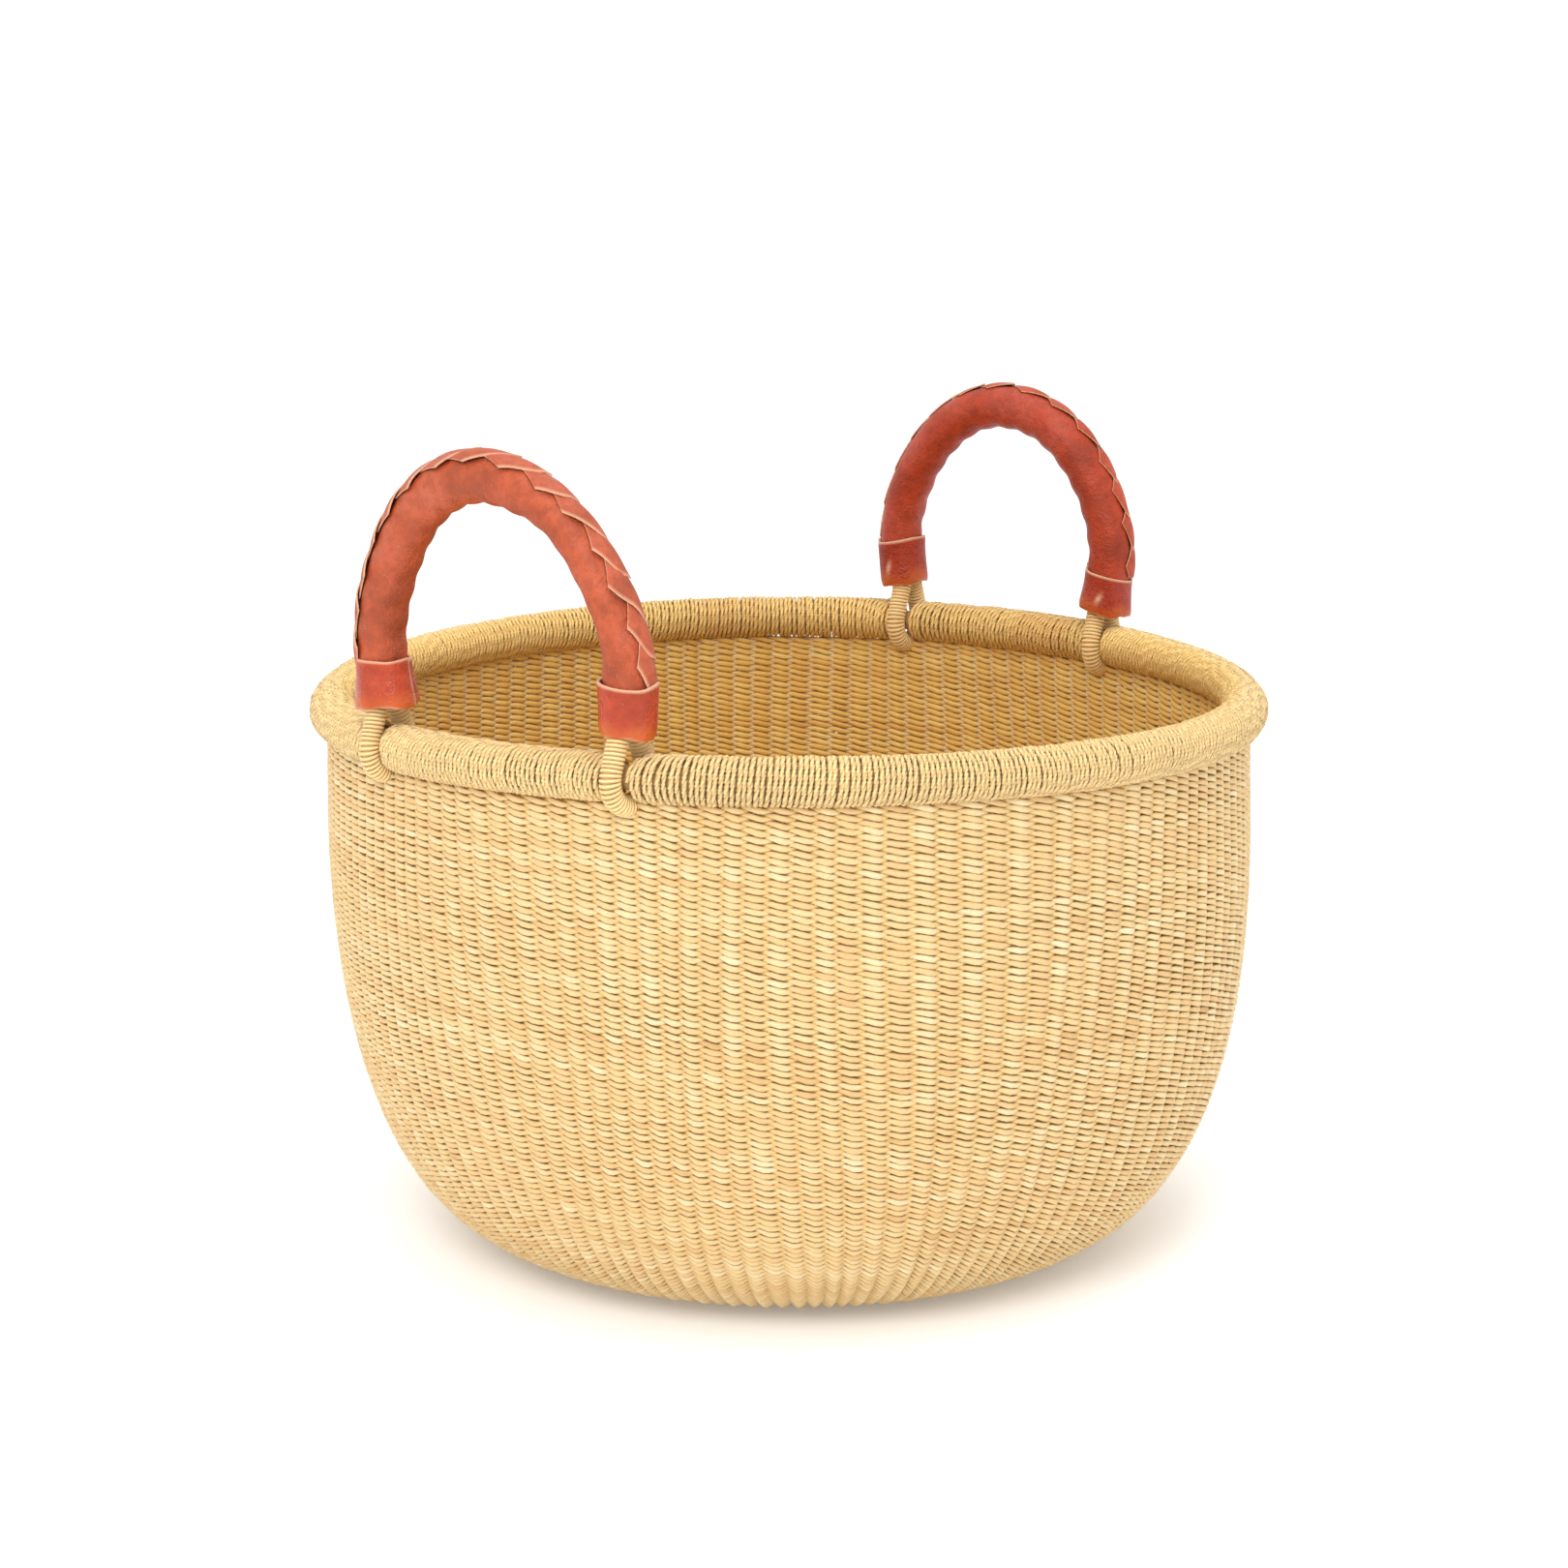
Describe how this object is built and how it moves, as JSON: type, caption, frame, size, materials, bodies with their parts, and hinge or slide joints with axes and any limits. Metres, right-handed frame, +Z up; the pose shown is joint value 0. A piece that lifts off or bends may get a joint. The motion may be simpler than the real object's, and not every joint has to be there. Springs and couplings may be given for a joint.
{
  "type": "woven basket",
  "caption": "Round woven grass floor basket with a cord-bound rim and leather-covered arched handles that tip on rope loops.",
  "frame": {"origin": "centre of the flat underside, on the floor", "axes": "+Z up, from the underside to the mouth; the handles stand at 233.3 and 57.2 degrees round from +X towards +Y"},
  "size_m": [0.4498, 0.4498, 0.3925],
  "materials": {
    "straw_weave": "dry twined grass, matt with a faint sheen",
    "straw_cord": "twisted grass cord, close bound",
    "grass_core": "bundled dry grass, matt",
    "leather_left": "vegetable-tanned hide, fine pebble grain, soft gloss",
    "leather_right": "vegetable-tanned hide, fine pebble grain, soft gloss",
    "lace_leather": "flat lace with raw cream edges, soft gloss",
    "cuff_leather": "glossier wrapped band with raw cream edges"
  },
  "bodies": {
    "root": {"woven_base": "straw_weave", "woven_wall": "straw_weave", "rim_core": "grass_core", "rim_binding_1": "straw_cord", "rim_binding_2": "straw_cord", "rim_binding_3": "straw_cord", "rim_binding_4": "straw_cord"},
    "handle_left": {"handle_left_core": "grass_core", "handle_left_sleeve": "leather_left", "handle_left_lacing": "lace_leather", "handle_left_cuff_a": "cuff_leather", "handle_left_cuff_b": "cuff_leather", "handle_left_loop_a": "straw_cord", "handle_left_loop_b": "straw_cord"},
    "handle_right": {"handle_right_core": "grass_core", "handle_right_sleeve": "leather_right", "handle_right_lacing": "lace_leather", "handle_right_cuff_a": "cuff_leather", "handle_right_cuff_b": "cuff_leather", "handle_right_loop_a": "straw_cord", "handle_right_loop_b": "straw_cord"}
  },
  "joints": [
    {"name": "handle_left_tilt", "type": "hinge", "parent": "root", "child": "handle_left", "pos_m": [-0.12126, -0.16269, 0.2585], "axis": [0.8018, -0.5976, 0], "range_deg": [-35, 45]},
    {"name": "handle_right_tilt", "type": "hinge", "parent": "root", "child": "handle_right", "pos_m": [0.11159, 0.17315, 0.2585], "axis": [-0.8406, 0.5417, 0], "range_deg": [-35, 45]}
  ]
}
